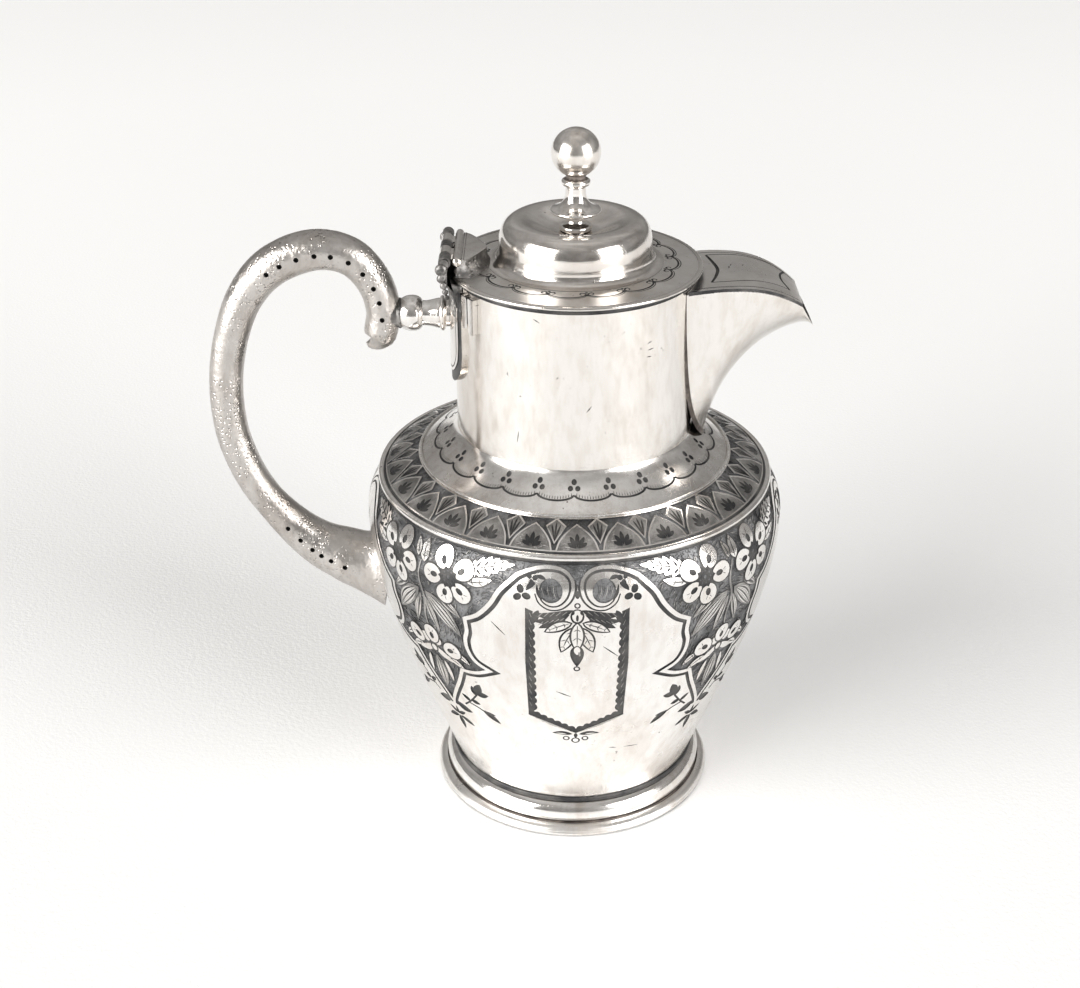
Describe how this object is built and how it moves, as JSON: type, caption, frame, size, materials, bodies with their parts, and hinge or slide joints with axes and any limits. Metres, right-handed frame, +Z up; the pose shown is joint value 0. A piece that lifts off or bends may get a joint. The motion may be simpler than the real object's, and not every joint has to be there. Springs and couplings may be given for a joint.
{
  "type": "lidded cream jug",
  "caption": "Silver cream jug with an engraved bellied body, straight neck, covered beak spout, hinged domed lid with a ball finial and a hammered scroll handle.",
  "frame": {"origin": "centre of the circle that the foot rests on", "axes": "+Z up, +X towards the spout, -X towards the handle, the lid hinge runs along Y"},
  "size_m": [0.1344, 0.0954, 0.16],
  "materials": {
    "silver_plain": "polished silver plate with light tarnish and wear",
    "silver_engraved": "polished silver plate with engraving and a dark oxidised ground",
    "silver_hammered": "hammered and pitted silver plate",
    "silver_dark": "oxidised dark silver plate"
  },
  "bodies": {
    "jug": {"foot_flange": "silver_plain", "foot_collar": "silver_plain", "body_shell": "silver_engraved", "shoulder_bead": "silver_plain", "shoulder_shell": "silver_engraved", "neck_tube": "silver_plain", "spout_shell": "silver_plain", "spout_cover": "silver_engraved", "back_plate": "silver_plain", "hinge_seat": "silver_dark", "body_knuckles": "silver_dark", "hinge_pin": "silver_dark", "handle_bow": "silver_hammered", "handle_tip": "silver_hammered", "handle_socket": "silver_hammered", "handle_fitting": "silver_plain", "fitting_collar": "silver_dark"},
    "lid": {"lid_knuckles": "silver_plain", "lid_leaf": "silver_plain", "lid_shell": "silver_engraved", "lid_bezel": "silver_plain", "finial_base": "silver_plain", "finial_stem": "silver_plain", "finial_ball": "silver_plain", "finial_stud": "silver_dark", "finial_nut": "silver_dark"}
  },
  "joints": [
    {"name": "lid_hinge", "type": "hinge", "parent": "jug", "child": "lid", "pos_m": [-0.0279, 0, 0.1337], "axis": [0, -1, 0], "range_deg": [0, 105]}
  ]
}
